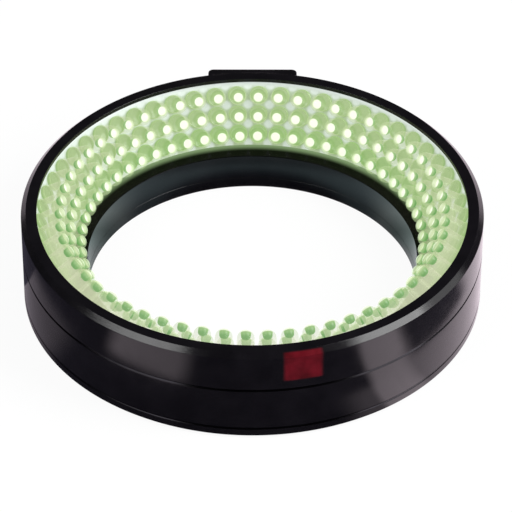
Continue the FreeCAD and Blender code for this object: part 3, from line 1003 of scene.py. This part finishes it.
def make_floor():
    half = FLOOR_HALF
    corners = [(-half, -half, 0), (half, -half, 0), (half, half, 0), (-half, half, 0)]
    floor = new_object("floor", mesh_from("floor", corners, [(0, 1, 2, 3)], False))
    paint = Paint("floor_white_painted_reflection")
    paint.fixed(Base_Color=(0.85, 0.85, 0.85, 1.0), Roughness=0.9, Specular_IOR_Level=0.0)
    rays = paint.add("ShaderNodeLightPath")
    white = paint.add("ShaderNodeEmission")
    mirrored = paint.add("ShaderNodeEmission")
    # Glossy rays see the painted reflection on the floor instead of its white.
    colour, strength = painted_reflection(paint)
    paint.join(colour, mirrored.inputs["Color"])
    paint.join(strength, mirrored.inputs["Strength"])
    seen = paint.add("ShaderNodeMixShader")
    paint.join(paint.times(rays.outputs["Is Camera Ray"], FLOOR_SEEN), seen.inputs["Fac"])
    paint.join(paint.shader.outputs[0], seen.inputs[1])
    paint.join(white.outputs[0], seen.inputs[2])
    blend = paint.add("ShaderNodeMixShader")
    paint.join(rays.outputs["Is Glossy Ray"], blend.inputs["Fac"])
    paint.join(seen.outputs[0], blend.inputs[1])
    paint.join(mirrored.outputs[0], blend.inputs[2])
    paint.join(blend.outputs[0], paint.tree.nodes["Material Output"].inputs["Surface"])
    paint.unsampled()
    dress(floor, paint.material)
    floor.location.z = -FLOOR_DROP


WORLD_COLOUR = (0.96, 0.98, 1.0, 1)
WORLD_SOFT = 0.45
WORLD_MIRRORED = 0.05


def make_world():
    """White to the camera, soft on matt surfaces and dark in the gloss, where the softboxes show instead."""
    world = bpy.data.worlds.new("studio")
    bpy.context.scene.world = world
    world.use_nodes = True
    tree = world.node_tree
    rays = tree.nodes.new("ShaderNodeLightPath")
    plain = tree.nodes["Background"]
    plain.inputs["Color"].default_value = WORLD_COLOUR
    plain.inputs["Strength"].default_value = WORLD_SOFT
    surface = plain.outputs[0]
    for output, strength in (("Is Glossy Ray", WORLD_MIRRORED), ("Is Camera Ray", 1.0)):
        other = tree.nodes.new("ShaderNodeBackground")
        other.inputs["Color"].default_value = (1, 1, 1, 1)
        other.inputs["Strength"].default_value = strength
        blend = tree.nodes.new("ShaderNodeMixShader")
        tree.links.new(rays.outputs[output], blend.inputs["Fac"])
        tree.links.new(surface, blend.inputs[1])
        tree.links.new(other.outputs[0], blend.inputs[2])
        surface = blend.outputs[0]
    tree.links.new(surface, tree.nodes["World Output"].inputs["Surface"])
    world.cycles.sampling_method = "NONE"


# Each softbox has its direction from the ring, its width and height in metres and its power in watts
SOFTBOX_DISTANCE = 1.0
SOFTBOXES = [
    ("left_softbox", (-0.64, -0.36, 0.67), (0.66, 0.26), 4.0),
    ("right_softbox", (0.73, -0.26, 0.63), (0.48, 0.75), 12.2),
    ("side_softbox", (0.88, 0.10, 0.45), (0.44, 0.40), 1.2),
]


def make_softbox(name, direction, size, power):
    light = bpy.data.lights.new(name, "AREA")
    light.shape = "RECTANGLE"
    light.size, light.size_y = size
    light.energy = power
    thing = new_object(name, light)
    away = Vector(direction).normalized()
    thing.location = Vector((0, 0, TOP / 2)) * MM + away * SOFTBOX_DISTANCE
    thing.rotation_euler = (-away).to_track_quat("-Z", "Y").to_euler()


# The camera's place and lens were worked out from the ellipses of the rim, the bore and the seam
CAMERA_DISTANCE = 1.06203
CAMERA_RISE = math.radians(39.281)
CAMERA_AIM = (0.00107, 0.0, 0.01133)
CAMERA_LENS = 257.34
CAMERA_ROLL = 0.00203
SENSOR = 36.0
CLIP_START = 0.01
CLIP_END = 20


def make_camera():
    data = bpy.data.cameras.new("camera")
    data.sensor_fit = "HORIZONTAL"
    data.sensor_width = SENSOR
    data.lens = CAMERA_LENS
    data.clip_start = CLIP_START
    data.clip_end = CLIP_END
    camera = new_object("camera", data)
    place = Vector((0, -CAMERA_DISTANCE * math.cos(CAMERA_RISE), CAMERA_DISTANCE * math.sin(CAMERA_RISE)))
    ahead = (Vector(CAMERA_AIM) - place).normalized()
    right = ahead.cross(Vector((0, 0, 1))).normalized()
    above = right.cross(ahead)
    rolled_right = right * math.cos(CAMERA_ROLL) + above * math.sin(CAMERA_ROLL)
    rolled_above = above * math.cos(CAMERA_ROLL) - right * math.sin(CAMERA_ROLL)
    turn = Matrix((rolled_right, rolled_above, -ahead)).transposed()
    camera.matrix_world = Matrix.Translation(place) @ turn.to_4x4()
    bpy.context.scene.camera = camera


make_floor()
make_world()
for softbox in SOFTBOXES:
    make_softbox(*softbox)
make_camera()
bpy.context.scene.view_settings.view_transform = "Standard"
